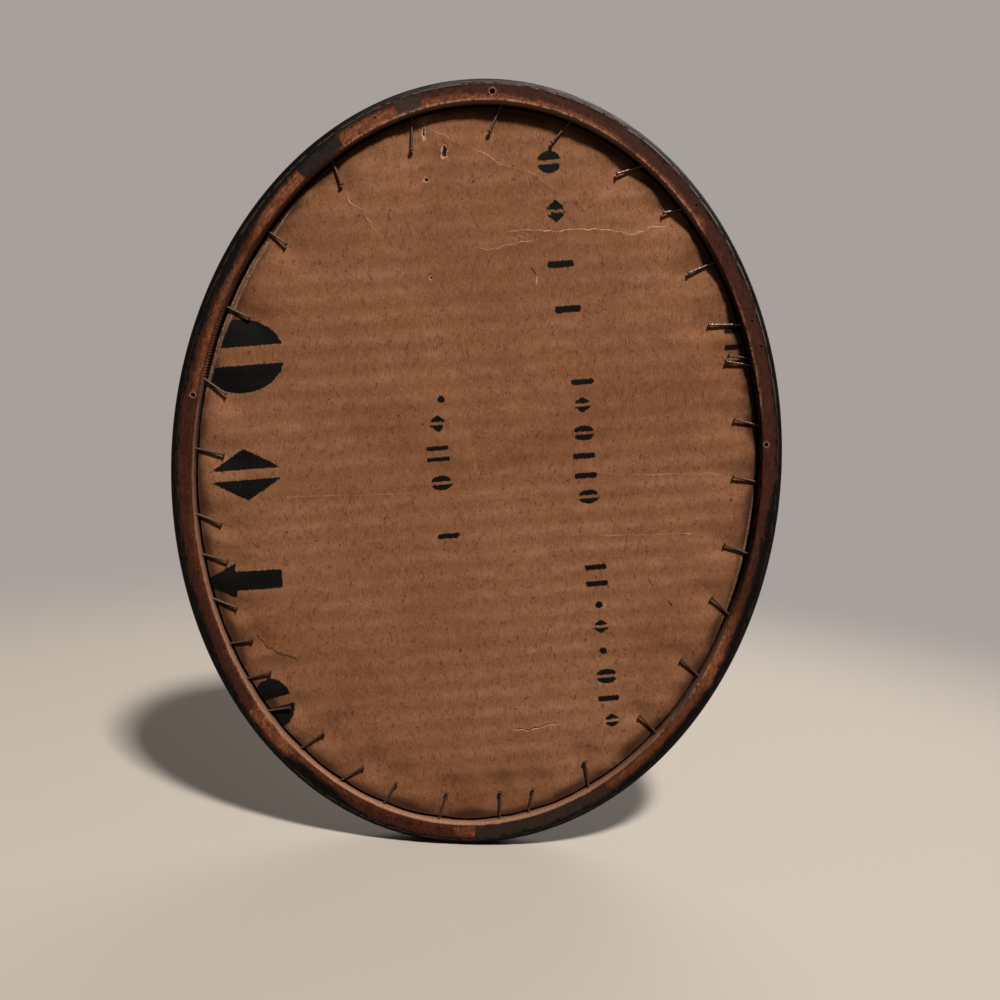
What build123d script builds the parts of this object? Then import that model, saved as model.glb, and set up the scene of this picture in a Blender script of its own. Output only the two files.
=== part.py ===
# Oval picture frame, standing upright with its back towards +Y and its glass towards -Y.
# Origin at the middle of the whole frame. X is across, Z runs along the oval's long axis.
from build123d import *
from math import cos, sin, radians
import os

# Picture, glass and board
sheet_width = 279.4  # width of the glass, picture and board
sheet_length = 357.4  # their length
fit_gap = 1.5  # free space between those sheets and the rabbet's wall, each side
glass_thickness = 2.0
picture_thickness = 0.5
liner_thickness = 0.35  # outer papers of the carton board
fluting_thickness = 0.3  # wavy middle paper
fluting_height = 3.95  # space between the two outer papers
flute_pitch = 10.2
flute_turn = 7.7  # degrees, the board is cut askew of its flutes

# Rim
rear_width = 8.2  # flat rear face, from the rabbet's wall to the outer arris
board_drop = 6.4  # from the rear face down to the board
flare_width = 3.2  # how far the side grows out below the rear face
flare_depth = 4.5
lip_width = 6.35  # the lip that holds the glass
lip_thickness = 5.5  # from the rabbet's floor to the front
edge_share = 0.33  # thickness at the sight edge, as a share of the lip's
joint_angles = [58.8, 110.8, 220.8, 319.2]  # ends of the four sawn pieces

# Dowels hidden in the four joints
dowel_length = 24.0
dowel_share = 0.22  # radius as a share of the space in front of the board
glue_gap = 0.1

# Brads
brad_length = 19.0
shank_radius = 0.6
head_radius = 1.1
head_thickness = 0.5
seat_gap = 0.05
tip_share = 0.08
# Each brad: place round the oval in degrees, share of its length that shows,
# degrees that it leans sideways, degrees that it rises from the board
brads = [
    (1.8, 0.77, 7, 4), (12.8, 0.69, 22, 5), (24.8, 0.67, 3, 4), (38.9, 0.61, 0, 6),
    (55.4, 0.66, 16, 5), (72.3, 0.86, 20, 3), (89.9, 0.76, 20, 4), (103.8, 0.75, 19, 4),
    (119.8, 0.72, 32, 5), (130.4, 0.54, 27, 7), (141.2, 0.79, 6, 4), (152.5, 0.86, 17, 3),
    (158.2, 0.61, 18, 10), (159.4, 0.7, 21, 5), (169.2, 0.69, 17, 4), (178.4, 0.72, 10, 5),
    (190.2, 0.71, 11, 4), (200.8, 0.7, 24, 5), (212.6, 0.69, 13, 4), (225.4, 0.69, 5, 5),
    (242.1, 0.77, 22, 4), (255.5, 0.72, 27, 5), (261.6, 0.79, 9, 4), (274.4, 0.79, 8, 4),
    (286.4, 0.73, 7, 5), (296.4, 0.76, 23, 4), (306.3, 0.78, 9, 4), (315.6, 0.62, 23, 6),
    (322.5, 0.68, 12, 5), (329.3, 0.64, 12, 5), (337.4, 0.69, 37, 4), (344.9, 0.71, 24, 5),
    (351.4, 0.71, 25, 4),
]

# Holes in the rear face: one to hang it by, two for screw eyes, and four left by pins
hanging_radius = 1.25
hanging_depth = 8.0
eye_radius = 1.0
eye_depth = 7.0
pin_radius = 0.45
pin_depth = 4.0
# Each hole: place round the oval in degrees, share of the rear face's width, radius, depth
holes = [
    (88.0, 0.53, hanging_radius, hanging_depth),
    (10.1, 0.34, eye_radius, eye_depth),
    (172.3, 0.26, eye_radius, eye_depth),
    (65.8, 0.56, pin_radius, pin_depth),
    (131.4, 0.61, pin_radius, pin_depth),
    (152.5, 0.55, pin_radius, pin_depth),
    (156.7, 0.65, pin_radius, pin_depth),
]

# Sizes that follow from the ones above
board_thickness = 2 * liner_thickness + fluting_height
rabbet_depth = board_drop + board_thickness + picture_thickness + glass_thickness
total_depth = rabbet_depth + lip_thickness
rear_y = total_depth / 2
front_y = -rear_y
board_y = rear_y - board_drop
floor_y = rear_y - rabbet_depth
rabbet_a = sheet_width / 2 + fit_gap
rabbet_b = sheet_length / 2 + fit_gap
outer_width = rear_width + flare_width

os.makedirs("parts", exist_ok=True)


def save(piece, label):
    piece.part.label = label
    export_step(piece.part, "parts/" + label + ".step")


# Plane across the rim at an angle round the oval: x points out of the oval, y to the rear
def rim_plane(angle):
    t = radians(angle)
    outward = Vector(rabbet_b * cos(t), 0, rabbet_a * sin(t)).normalized()
    origin = Vector(rabbet_a * cos(t), 0, rabbet_b * sin(t))
    return Plane(origin=origin, x_dir=outward, z_dir=outward.cross(Vector(0, 1, 0)))


# Plane on the rear face at a place round the oval, for a hole bored into it
def rear_plane(angle, share):
    across = rim_plane(angle)
    origin = across.origin + across.x_dir * rear_width * share + Vector(0, rear_y, 0)
    return Plane(origin=origin, x_dir=across.x_dir, z_dir=(0, 1, 0))


# Plane of a brad: its z axis runs along the shank to the head, its origin is in the rabbet's wall
def brad_plane(angle, lean, rise):
    across = rim_plane(angle)
    inward = across.x_dir.rotate(Axis.Y, 180 - lean)
    along = inward * cos(radians(rise)) + Vector(0, sin(radians(rise)), 0)
    origin = across.origin + Vector(0, board_y + shank_radius / cos(radians(rise)) + seat_gap, 0)
    return Plane(origin=origin, x_dir=inward.cross(Vector(0, 1, 0)), z_dir=along)


# Brads: a thin shank with a point, and a small flat head
def make_brad(angle, shown_share, lean, rise):
    shown = brad_length * shown_share
    tip = brad_length * tip_share
    with BuildPart() as brad:
        place = brad_plane(angle, lean, rise)
        half = Plane(origin=place.origin, x_dir=place.x_dir, z_dir=-place.y_dir)
        with BuildSketch(half):
            with BuildLine():
                Polyline(
                    (0, shown),
                    (head_radius, shown),
                    (head_radius, shown - head_thickness),
                    (shank_radius, shown - head_thickness),
                    (shank_radius, shown - brad_length + tip),
                    (0, shown - brad_length),
                    close=True,
                )
            make_face()
        revolve(axis=Axis(place.origin, place.z_dir))
    return brad


all_brads = [make_brad(*row) for row in brads]
for number, brad in enumerate(all_brads, 1):
    save(brad, "brad_%02d" % number)


# Dowels: one across each joint, in the thick wood in front of the board
dowel_radius = dowel_share * (board_y - floor_y)
dowel_y = (board_y + floor_y) / 2 - dowel_radius / 2
dowel_names = ["dowel_upper_left", "dowel_upper_right", "dowel_lower_right", "dowel_lower_left"]


def dowel_plane(angle):
    across = rim_plane(angle)
    origin = across.origin + across.x_dir * outer_width / 2 + Vector(0, dowel_y, 0)
    return Plane(origin=origin, x_dir=across.x_dir, z_dir=across.z_dir)


for angle, label in zip(joint_angles, dowel_names):
    with BuildPart() as dowel:
        with BuildSketch(dowel_plane(angle)):
            Circle(dowel_radius)
        extrude(amount=dowel_length / 2, both=True)
        chamfer(dowel.edges(), length=dowel_radius / 4)
    save(dowel, label)


# Section of the rim: rear face, flared side, rounded front, hollow down to a bead at the sight edge
crest_out = 0.64 * outer_width
crest_in = 0.42 * outer_width
side_y = board_y - 0.45 * rabbet_depth
edge_y = floor_y - edge_share * lip_thickness
bead_y = floor_y - 0.55 * lip_thickness


with BuildSketch() as section:
    with BuildLine():
        Line((0, floor_y), (0, rear_y))
        Line((0, rear_y), (rear_width, rear_y))
        ThreePointArc(
            (rear_width, rear_y),
            (rear_width + 0.62 * flare_width, rear_y - 0.5 * flare_depth),
            (outer_width, rear_y - flare_depth),
        )
        Line((outer_width, rear_y - flare_depth), (outer_width, side_y))
        ThreePointArc(
            (outer_width, side_y),
            (crest_out + 0.72 * (outer_width - crest_out), front_y + 0.3 * (side_y - front_y)),
            (crest_out, front_y),
        )
        Line((crest_out, front_y), (crest_in, front_y))
        ThreePointArc(
            (crest_in, front_y),
            (0.2 * crest_in, bead_y - 0.35 * (bead_y - front_y)),
            (-0.45 * lip_width, bead_y),
        )
        ThreePointArc(
            (-0.45 * lip_width, bead_y),
            (-0.72 * lip_width, bead_y - 0.16 * lip_thickness),
            (-lip_width, edge_y),
        )
        Line((-lip_width, edge_y), (-lip_width, floor_y))
        Line((-lip_width, floor_y), (0, floor_y))
    make_face()


# Rim: four sawn pieces, each swept along its part of the oval
def make_rim_piece(start, end):
    with BuildPart() as rim:
        with BuildLine(Plane.XZ) as path:
            EllipticalCenterArc((0, 0), rabbet_a, rabbet_b, start_angle=start, arc_size=end - start)
        with BuildSketch(rim_plane(start)):
            add(section.sketch)
        sweep(path=path.line)
        for angle in (start, end):
            with BuildSketch(dowel_plane(angle)):
                Circle(dowel_radius + glue_gap)
            extrude(amount=dowel_length / 2 + glue_gap, both=True, mode=Mode.SUBTRACT)
        for row, brad in zip(brads, all_brads):
            if start < row[0] < end or start < row[0] + 360 < end:
                add(brad.part, mode=Mode.SUBTRACT)
        for angle, share, radius, depth in holes:
            if start < angle < end or start < angle + 360 < end:
                with BuildSketch(rear_plane(angle, share)):
                    Circle(radius)
                extrude(amount=-depth, mode=Mode.SUBTRACT)
    return rim


first, second, third, fourth = joint_angles
save(make_rim_piece(first, second), "rim_top")
save(make_rim_piece(second, third), "rim_right")
save(make_rim_piece(third, fourth), "rim_bottom")
save(make_rim_piece(fourth, first + 360), "rim_left")


# Flat oval sheet between two depths
def make_sheet(front, thickness):
    with BuildPart() as sheet:
        with BuildSketch(Plane.XZ.offset(-front)):
            Ellipse(sheet_width / 2, sheet_length / 2)
        extrude(amount=-thickness)
    return sheet


save(make_sheet(floor_y, glass_thickness), "glass_pane")

picture_y = floor_y + glass_thickness
save(make_sheet(picture_y, picture_thickness), "picture_sheet")

front_liner_y = picture_y + picture_thickness
save(make_sheet(front_liner_y, liner_thickness), "backing_front_liner")

fluting_y = front_liner_y + liner_thickness
rear_liner_y = fluting_y + fluting_height
save(make_sheet(rear_liner_y, liner_thickness), "backing_rear_liner")


# Fluting: a wavy paper that touches both liners, trimmed to the same oval
wave = (fluting_height - fluting_thickness) / 2
waves = int(sheet_length / flute_pitch / 2) + 2
with BuildPart() as fluting:
    flute_plane = Plane(
        origin=(0, fluting_y + fluting_height / 2, 0),
        x_dir=Vector(0, 0, 1).rotate(Axis.Y, flute_turn),
        z_dir=Vector(1, 0, 0).rotate(Axis.Y, flute_turn),
    )
    with BuildSketch(flute_plane):
        with BuildLine():
            for step in range(-2 * waves, 2 * waves):
                low = step * flute_pitch / 2
                side = wave if step % 2 else -wave
                ThreePointArc((low, 0), (low + flute_pitch / 4, side), (low + flute_pitch / 2, 0))
        trace(line_width=fluting_thickness)
    extrude(amount=sheet_width * 0.6, both=True)
    with BuildSketch(Plane.XZ.offset(-fluting_y - fluting_height / 2)):
        Ellipse(sheet_width / 2, sheet_length / 2)
    extrude(amount=fluting_height, both=True, mode=Mode.INTERSECT)
save(fluting, "backing_fluting")
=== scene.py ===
import bmesh
import bpy
import numpy as np
from mathutils import Matrix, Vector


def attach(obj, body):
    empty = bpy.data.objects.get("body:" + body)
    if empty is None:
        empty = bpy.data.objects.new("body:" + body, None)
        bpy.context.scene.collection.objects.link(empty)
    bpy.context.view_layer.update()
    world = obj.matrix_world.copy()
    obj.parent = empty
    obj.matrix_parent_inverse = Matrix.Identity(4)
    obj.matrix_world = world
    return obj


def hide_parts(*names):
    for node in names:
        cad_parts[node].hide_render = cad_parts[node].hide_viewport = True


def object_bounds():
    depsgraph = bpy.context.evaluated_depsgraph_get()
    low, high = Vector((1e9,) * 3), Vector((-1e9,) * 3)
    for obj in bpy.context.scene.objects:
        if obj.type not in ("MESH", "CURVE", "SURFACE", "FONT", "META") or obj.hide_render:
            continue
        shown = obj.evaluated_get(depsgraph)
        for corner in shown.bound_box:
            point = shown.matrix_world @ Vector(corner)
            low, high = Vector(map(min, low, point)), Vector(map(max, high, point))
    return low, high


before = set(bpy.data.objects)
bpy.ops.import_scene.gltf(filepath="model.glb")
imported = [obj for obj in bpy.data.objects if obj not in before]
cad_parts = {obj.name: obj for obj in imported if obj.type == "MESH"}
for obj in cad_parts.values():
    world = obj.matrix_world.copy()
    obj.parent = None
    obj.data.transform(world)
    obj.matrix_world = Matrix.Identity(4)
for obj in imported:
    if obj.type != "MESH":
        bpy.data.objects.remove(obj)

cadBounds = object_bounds()
mm = 0.001

# The oval that everything follows: half axes of the rabbet's wall, and levels towards the rear, in mm
oval = {"a": 141.2, "b": 180.2, "rearY": 9.525, "boardY": 3.125, "lipY": -4.025}


# helpers shared by all pieces

def ovalAt(degrees, a=oval["a"], b=oval["b"]):
    # point at an angle of the oval, and the unit normal that points out of it there
    t = np.radians(degrees)
    nx, nz = b * np.cos(t), a * np.sin(t)
    length = np.hypot(nx, nz)
    return a * np.cos(t), b * np.sin(t), nx / length, nz / length


def arcLength(degrees):
    # mm along the oval from angle 0: the sum of many short chords
    dense = np.linspace(-360, 720, 21601)
    x, z, _, _ = ovalAt(dense)
    run = np.concatenate([[0], np.cumsum(np.hypot(np.diff(x), np.diff(z)))])
    return np.interp(degrees, dense, run) - np.interp(0, dense, run)


def softNoise(u, v, seed):
    # random heights from -1 to 1 at whole u and v, blended smoothly between them
    count = 128
    table = np.random.default_rng(seed).uniform(-1, 1, (count, count))
    i, j = np.floor(u).astype(int), np.floor(v).astype(int)
    su, sv = u - i, v - j
    su, sv = su * su * (3 - 2 * su), sv * sv * (3 - 2 * sv)
    i, j, nextI, nextJ = i % count, j % count, (i + 1) % count, (j + 1) % count
    low = table[i, j] * (1 - su) + table[nextI, j] * su
    high = table[i, nextJ] * (1 - su) + table[nextI, nextJ] * su
    return low * (1 - sv) + high * sv


def ease(low, high, value):
    # 0 at low, 1 at high, an S curve between; low may be the larger of the two
    s = np.clip((value - low) / (high - low), 0, 1)
    return s * s * (3 - 2 * s)


def gridPiece(name, points, material, ring=False, caps=False, layers=None, sharp=38):
    # points is a grid (along, across, xyz) in mm whose neighbours make faces; ring joins the last
    # across to the first, rows that shrink to a point become poles, caps close both ends
    rows, cols = points.shape[:2]
    index = np.arange(rows * cols).reshape(rows, cols)
    if ring:
        index = np.concatenate([index, index[:, :1]], axis=1)
    corners = [index[:-1, :-1], index[1:, :-1], index[1:, 1:], index[:-1, 1:]]
    quads = np.stack(corners, axis=-1).reshape(-1, 4)
    flat = points.reshape(-1, 3)
    p, q, r, s = (flat[quads[:, k]] for k in range(4))
    volume = (np.cross(q, r) * p).sum() + (np.cross(r, s) * p).sum()
    ends = [index[0, :cols][::-1].tolist(), index[-1, :cols].tolist()] if caps else []
    for end in ends:
        edge = flat[end]
        volume += (np.cross(edge[1:-1], edge[2:]) * edge[0]).sum()
    if volume < 0:  # inside out, so every face is turned round
        quads = quads[:, ::-1]
        ends = [end[::-1] for end in ends]
    mesh = bpy.data.meshes.new(name)
    mesh.from_pydata((flat * mm).tolist(), [], quads.tolist() + ends)
    for label, values in (layers or {}).items():
        layer = mesh.attributes.new(label, "FLOAT_COLOR", "POINT")
        layer.data.foreach_set("color", values.reshape(-1, 4).astype(np.float32).ravel())
    shell = bmesh.new()
    shell.from_mesh(mesh)
    bmesh.ops.remove_doubles(shell, verts=shell.verts, dist=1e-7)
    shell.to_mesh(mesh)
    shell.free()
    mesh.polygons.foreach_set("use_smooth", [True] * len(mesh.polygons))
    mesh.set_sharp_from_angle(angle=np.radians(sharp))
    piece = bpy.data.objects.new(name, mesh)
    bpy.context.collection.objects.link(piece)
    mesh.materials.append(material)
    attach(piece, "root")
    return piece


def toLinear(colour):
    # sRGB hex to the linear numbers that sockets take
    s = np.array([int(colour[k:k + 2], 16) / 255 for k in (1, 3, 5)])
    return (*np.where(s <= 0.04045, s / 12.92, ((s + 0.055) / 1.055) ** 2.4).tolist(), 1.0)


def node(tree, kind, sockets=None, out=0, **settings):
    # adds one node: settings are its properties, sockets its inputs (an output to link, a hex colour
    # or a number); gives back one of its outputs
    made = tree.nodes.new("ShaderNode" + kind)
    for key, value in settings.items():
        setattr(made, key, value)
    for key, value in (sockets or {}).items():
        if isinstance(value, bpy.types.NodeSocket):
            tree.links.new(value, made.inputs[key])
        else:
            made.inputs[key].default_value = toLinear(value) if isinstance(value, str) else value
    return made.outputs[out] if made.outputs else made


def newMaterial(name):
    material = bpy.data.materials.new(name)
    material.use_nodes = True
    material.node_tree.nodes.clear()
    return material, material.node_tree


def sizes(*each):
    return tuple(size * mm for size in each)


# rim: four sawn pieces of stained hardwood

rim = {
    # the solid that each piece replaces, and its first and last angle
    "pieces": {"rimTop": ("rim_top", 58.8, 110.8), "rimRight": ("rim_right", 110.8, 220.8),
               "rimBottom": ("rim_bottom", 220.8, 319.2), "rimLeft": ("rim_left", 319.2, 418.8)},
    # the section: distances out of the rabbet's wall, and levels, in mm
    "rearWidth": 8.2, "sideOut": 11.4, "flareY": 5.025, "sideY": -2.97, "frontY": -9.525,
    "crestOut": 7.3, "crestIn": 4.79, "beadR": -2.86, "beadY": -7.05, "sightR": -6.35, "sightY": -5.84,
    "arris": 0.5,  # how far the rear arrises are worn round
    "chip": 0.75,  # deepest chip out of the inner arris
    "step": 0.8,  # mm between columns along the rim
    "chatter": 1.5,  # mm between the ribs that the cutter left in the rabbet
    # angles where such ribs begin, are full, begin to fade and end
    "ribbed": ((12.2, 13.5, 23.5, 24.8), (192.3, 193.5, 200.5, 201.7)),
    "close": ((12.4, 24.6), (192.5, 201.5)),  # angles of the stretches with close columns, over the ribs
    # the soil tone on the rabbet's wall also paints shade there
    "stain": ("#32160d", "#482213"), "stainGrain": "#1a0b07", "dull": "#381f17", "soilAndShade": "#28160f",
    # the dust tone also paints a sheen of light on the top of the flare
    "bare": ("#7f472b", "#653620"), "bareFibre": "#a86c46", "scuffed": "#a97a5e", "dustAndSheen": "#665a52",
    # the raw wood's tone at its foot is painted shade deep in the rabbet
    # the tone of the worn outer arris also paints a highlight along it
    "raw": ("#a3765c", "#845a44"), "rawFootShade": "#33201a", "arrisLine": "#2c0f08", "wearAndHighlight": "#7b6b60",
    "film": ("#14110c", "#282019"), "filmPale": "#352a21", "lacquer": ("#060403", "#0e0a07"),
    # the wood's noises: size in mm across, deep and up (scratch: along the rim), detail, roughness, warp
    "noises": {"grain": ((0.55, 2.0, 3.8), 3.0, 0.62, 0.6), "fibre": ((0.24, 0.6, 1.5), 2.0, 0.6, 0.0),
               "patch": ((3.6, 3.6, 6.0), 4.0, 0.62, 0.5), "mottle": ((1.5, 1.5, 2.1), 3.0, 0.6, 0.8),
               "grit": ((0.55, 0.55, 0.7), 3.0, 0.65, 0.0), "scratch": ((8.0, 0.35, 0.35), 3.0, 0.62, 0.3)},
}

# Holes in the rear face: angle, distance out from the rabbet's wall, radius, depth
rimHoles = [
    (88.0, 4.35, 1.25, 7.0), (10.1, 2.79, 1.0, 6.0), (172.3, 2.13, 1.0, 6.0), (65.8, 4.59, 0.45, 3.5),
    (131.4, 5.00, 0.45, 3.5), (152.5, 4.51, 0.45, 3.5), (156.7, 5.33, 0.45, 3.5),
]

# How the finish has aged round the rear face: angle, how bare the wood is, how far out from the inner
# arris it is bare, how far lacquer strays in from the outer arris, grey film, dull brown (all shares)
rimFinish = np.array([
    (0, 0.12, 0.20, 0.12, 0, 0.2), (9.5, 0.12, 0.30, 0.12, 0, 0.1), (10.5, 0.70, 0.46, 0.20, 0, 0),
    (24, 0.70, 0.46, 0.34, 0, 0), (33, 0.60, 0.42, 0.46, 0, 0), (34.5, 0.15, 0.30, 0.44, 0, 0),
    (37, 0.60, 0.46, 0.40, 0, 0), (41, 0.85, 0.70, 0.30, 0, 0), (48, 0.80, 0.80, 0.26, 0, 0),
    (49.5, 0.70, 0.80, 0.26, 0, 0), (49.9, 0.40, 0.10, 0.26, 1, 0), (58.3, 0.40, 0.10, 0.22, 1, 0),
    (58.7, 0.85, 0.80, 0.10, 0, 0), (64, 0.90, 0.76, 0.10, 0, 0), (69.7, 0.85, 0.72, 0.08, 0, 0),
    (70.1, 0.30, 0.20, 0.06, 0.85, 1.0), (74.2, 0.30, 0.20, 0.06, 0.85, 1.0),
    (74.6, 0.85, 0.50, 0.05, 0, 0.5), (82, 0.85, 0.44, 0.03, 0, 0.8), (92, 0.80, 0.38, 0.03, 0, 0.9),
    (104, 0.75, 0.36, 0.08, 0, 0.8), (113, 0.62, 0.34, 0.08, 0, 0.7), (115, 0.20, 0.25, 0.08, 0.3, 0.9),
    (117.3, 0.15, 0.20, 0.08, 0.3, 0.9), (117.7, 0.72, 0.24, 0.08, 0, 0.8), (130, 0.72, 0.24, 0.08, 0, 0.8),
    (134, 0.80, 0.42, 0.08, 0, 0.8), (136.5, 0.30, 0.14, 0.08, 0, 0.9), (150, 0.16, 0.12, 0.10, 0, 0.5),
    (177, 0.10, 0.14, 0.12, 0, 0.6), (183, 0.10, 0.20, 0.42, 0, 0.6), (199, 0.15, 0.25, 0.48, 0, 0.4),
    (200.5, 0.50, 0.42, 0.42, 0, 0.2), (206.5, 0.62, 0.52, 0.36, 0, 0), (207.5, 0.90, 0.66, 0.32, 0, 0),
    (211.5, 0.95, 0.72, 0.28, 0, 0), (212.5, 0.80, 0.80, 0.14, 0, 0), (214.5, 0.45, 0.55, 0.34, 0, 0),
    (225, 0.42, 0.58, 0.36, 0, 0), (237, 0.45, 0.60, 0.30, 0, 0), (238.6, 0.40, 0.55, 0.28, 0, 0),
    (239.2, 0.20, 0.05, 0.24, 0.9, 0.5), (266.5, 0.20, 0.05, 0.14, 1, 0.5), (266.9, 0.80, 0.80, 0.12, 0, 0),
    (270.4, 0.75, 0.66, 0.14, 0, 0), (271.5, 0.40, 0.22, 0.16, 0, 0), (284, 0.35, 0.20, 0.18, 0, 0.1),
    (292, 0.35, 0.24, 0.26, 0, 0), (295, 0.45, 0.30, 0.54, 0, 0), (300, 0.45, 0.30, 0.64, 0, 0),
    (304, 0.45, 0.30, 0.64, 0, 0), (306.5, 0.60, 0.40, 0.38, 0, 0), (308, 0.90, 0.75, 0.14, 0, 0),
    (317.5, 0.88, 0.82, 0.10, 0, 0), (318.3, 0.20, 0.14, 0.16, 0, 0.4), (330, 0.14, 0.12, 0.32, 0, 0.5),
    (338, 0.30, 0.22, 0.26, 0, 0.2), (347, 0.36, 0.30, 0.18, 0, 0), (356, 0.20, 0.22, 0.14, 0, 0.1),
    (360, 0.12, 0.20, 0.12, 0, 0.2),
])

# Edges of the rear face: angle, how soiled the rabbet's wall is, with painted shade; how dark the inner arris
# is (below zero it is scuffed pale); how worn through the lacquer is on the outer arris, with a painted
# highlight
rimEdges = np.array([
    (0, 0.1, 0.9, 0.1), (14, 0.1, 1.0, 0.1), (24, 0.2, 1.0, 0.2), (36, 0.4, 1.0, 0.3), (54, 0.5, 0.4, 0.3),
    (60, 0.3, -0.7, 0.3), (80, 0.1, -1.3, 0.7), (96, 0.1, -1.3, 0.7), (112, 0.1, -0.8, 0.8),
    (117, 0.2, -0.2, 1.0), (119, 0.2, -1.0, 1.0), (134, 0.3, -1.0, 1.0), (138, 0.7, 0.5, 0.9),
    (150, 1, -0.4, 0.7), (166, 1, -0.5, 0.4), (170, 1, 0.5, 0.3), (178, 1, 0.9, 0.2), (192, 1, 0.9, 0.1),
    (199, 0.5, 0.7, 0.2), (204, 0.2, 0.1, 0.1), (212, 0.5, -0.5, 0.1), (218, 0.7, 0.3, 0.1),
    (236, 0.3, 0.8, 0.1), (246, 0.1, 0.8, 0.3), (265, 0.2, 0.7, 0.3), (270, 0, 0.7, 0.7),
    (302, 0, 1.0, 0.6), (307, 0.2, 0.0, 0.2), (317, 0.3, -0.6, 0.1), (330, 0.1, -0.2, 0.1),
    (344, 0.1, 0.1, 0.1), (354, 0.1, 0.5, 0.1), (360, 0.1, 0.9, 0.1),
])

# How dusty the flare is, with a painted sheen of light where it faces up at the top: angle, share
rimDustAndSheen = np.array([
    (0, 0), (58, 0), (70, 0.35), (84, 0.95), (98, 1.3), (112, 1.2), (120, 0.5), (130, 0.15), (142, 0),
    (360, 0),
])


def bow(start, end, rise, count):
    # points from start towards end that swell sideways by rise in the middle; the end itself is left out
    s = np.arange(count)[:, None] / count
    start, end = np.array(start), np.array(end)
    side = np.array([end[1] - start[1], start[0] - end[0]]) / np.hypot(*(end - start))
    return start + s * (end - start) - side * rise * 4 * s * (1 - s)


def rimSection():
    # closed outline of the moulding: r out of the rabbet's wall, y towards the rear
    c, w, rear = rim["arris"], rim["rearWidth"], oval["rearY"]
    return np.concatenate([
        bow((c, rear), (w - c, rear), 0.0, 34),
        bow((w - c, rear), (w + 0.25 * c, rear - 0.7 * c), 0.14, 5),
        bow((w + 0.25 * c, rear - 0.7 * c), (rim["sideOut"], rim["flareY"]), 0.35, 22),
        bow((rim["sideOut"], rim["flareY"]), (rim["sideOut"], rim["sideY"]), 0.0, 9),
        bow((rim["sideOut"], rim["sideY"]), (rim["crestOut"], rim["frontY"]), 1.25, 14),
        bow((rim["crestOut"], rim["frontY"]), (rim["crestIn"], rim["frontY"]), 0.0, 4),
        bow((rim["crestIn"], rim["frontY"]), (rim["beadR"], rim["beadY"]), -0.8, 12),
        bow((rim["beadR"], rim["beadY"]), (rim["sightR"], rim["sightY"]), 1.45, 12),
        bow((rim["sightR"], rim["sightY"]), (rim["sightR"], oval["lipY"]), 0.0, 3),
        bow((rim["sightR"], oval["lipY"]), (0.0, oval["lipY"]), 0.0, 5),
        bow((0.0, oval["lipY"]), (0.0, rear - c), 0.0, 34),
        bow((0.0, rear - c), (c, rear), 0.14, 5),
    ])


def rimColumns(start, end):
    # angles of the columns: even steps, with close ones over the holes and the ribbed stretches
    parts = [np.linspace(start, end, int((arcLength(end) - arcLength(start)) / rim["step"]) + 1)]
    parts += [angle + np.linspace(-1, 1, 27) * (radius + 0.5) / 2.6 for angle, _, radius, _ in rimHoles]
    parts += [np.arange(low, high, 0.1) for low, high in rim["close"]]
    angles = np.concatenate([part + turn for part in parts for turn in (0, 360)])
    angles = np.unique(np.round(angles, 3))
    return np.concatenate([[start], angles[(angles > start + 0.05) & (angles < end - 0.05)], [end]])


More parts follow.
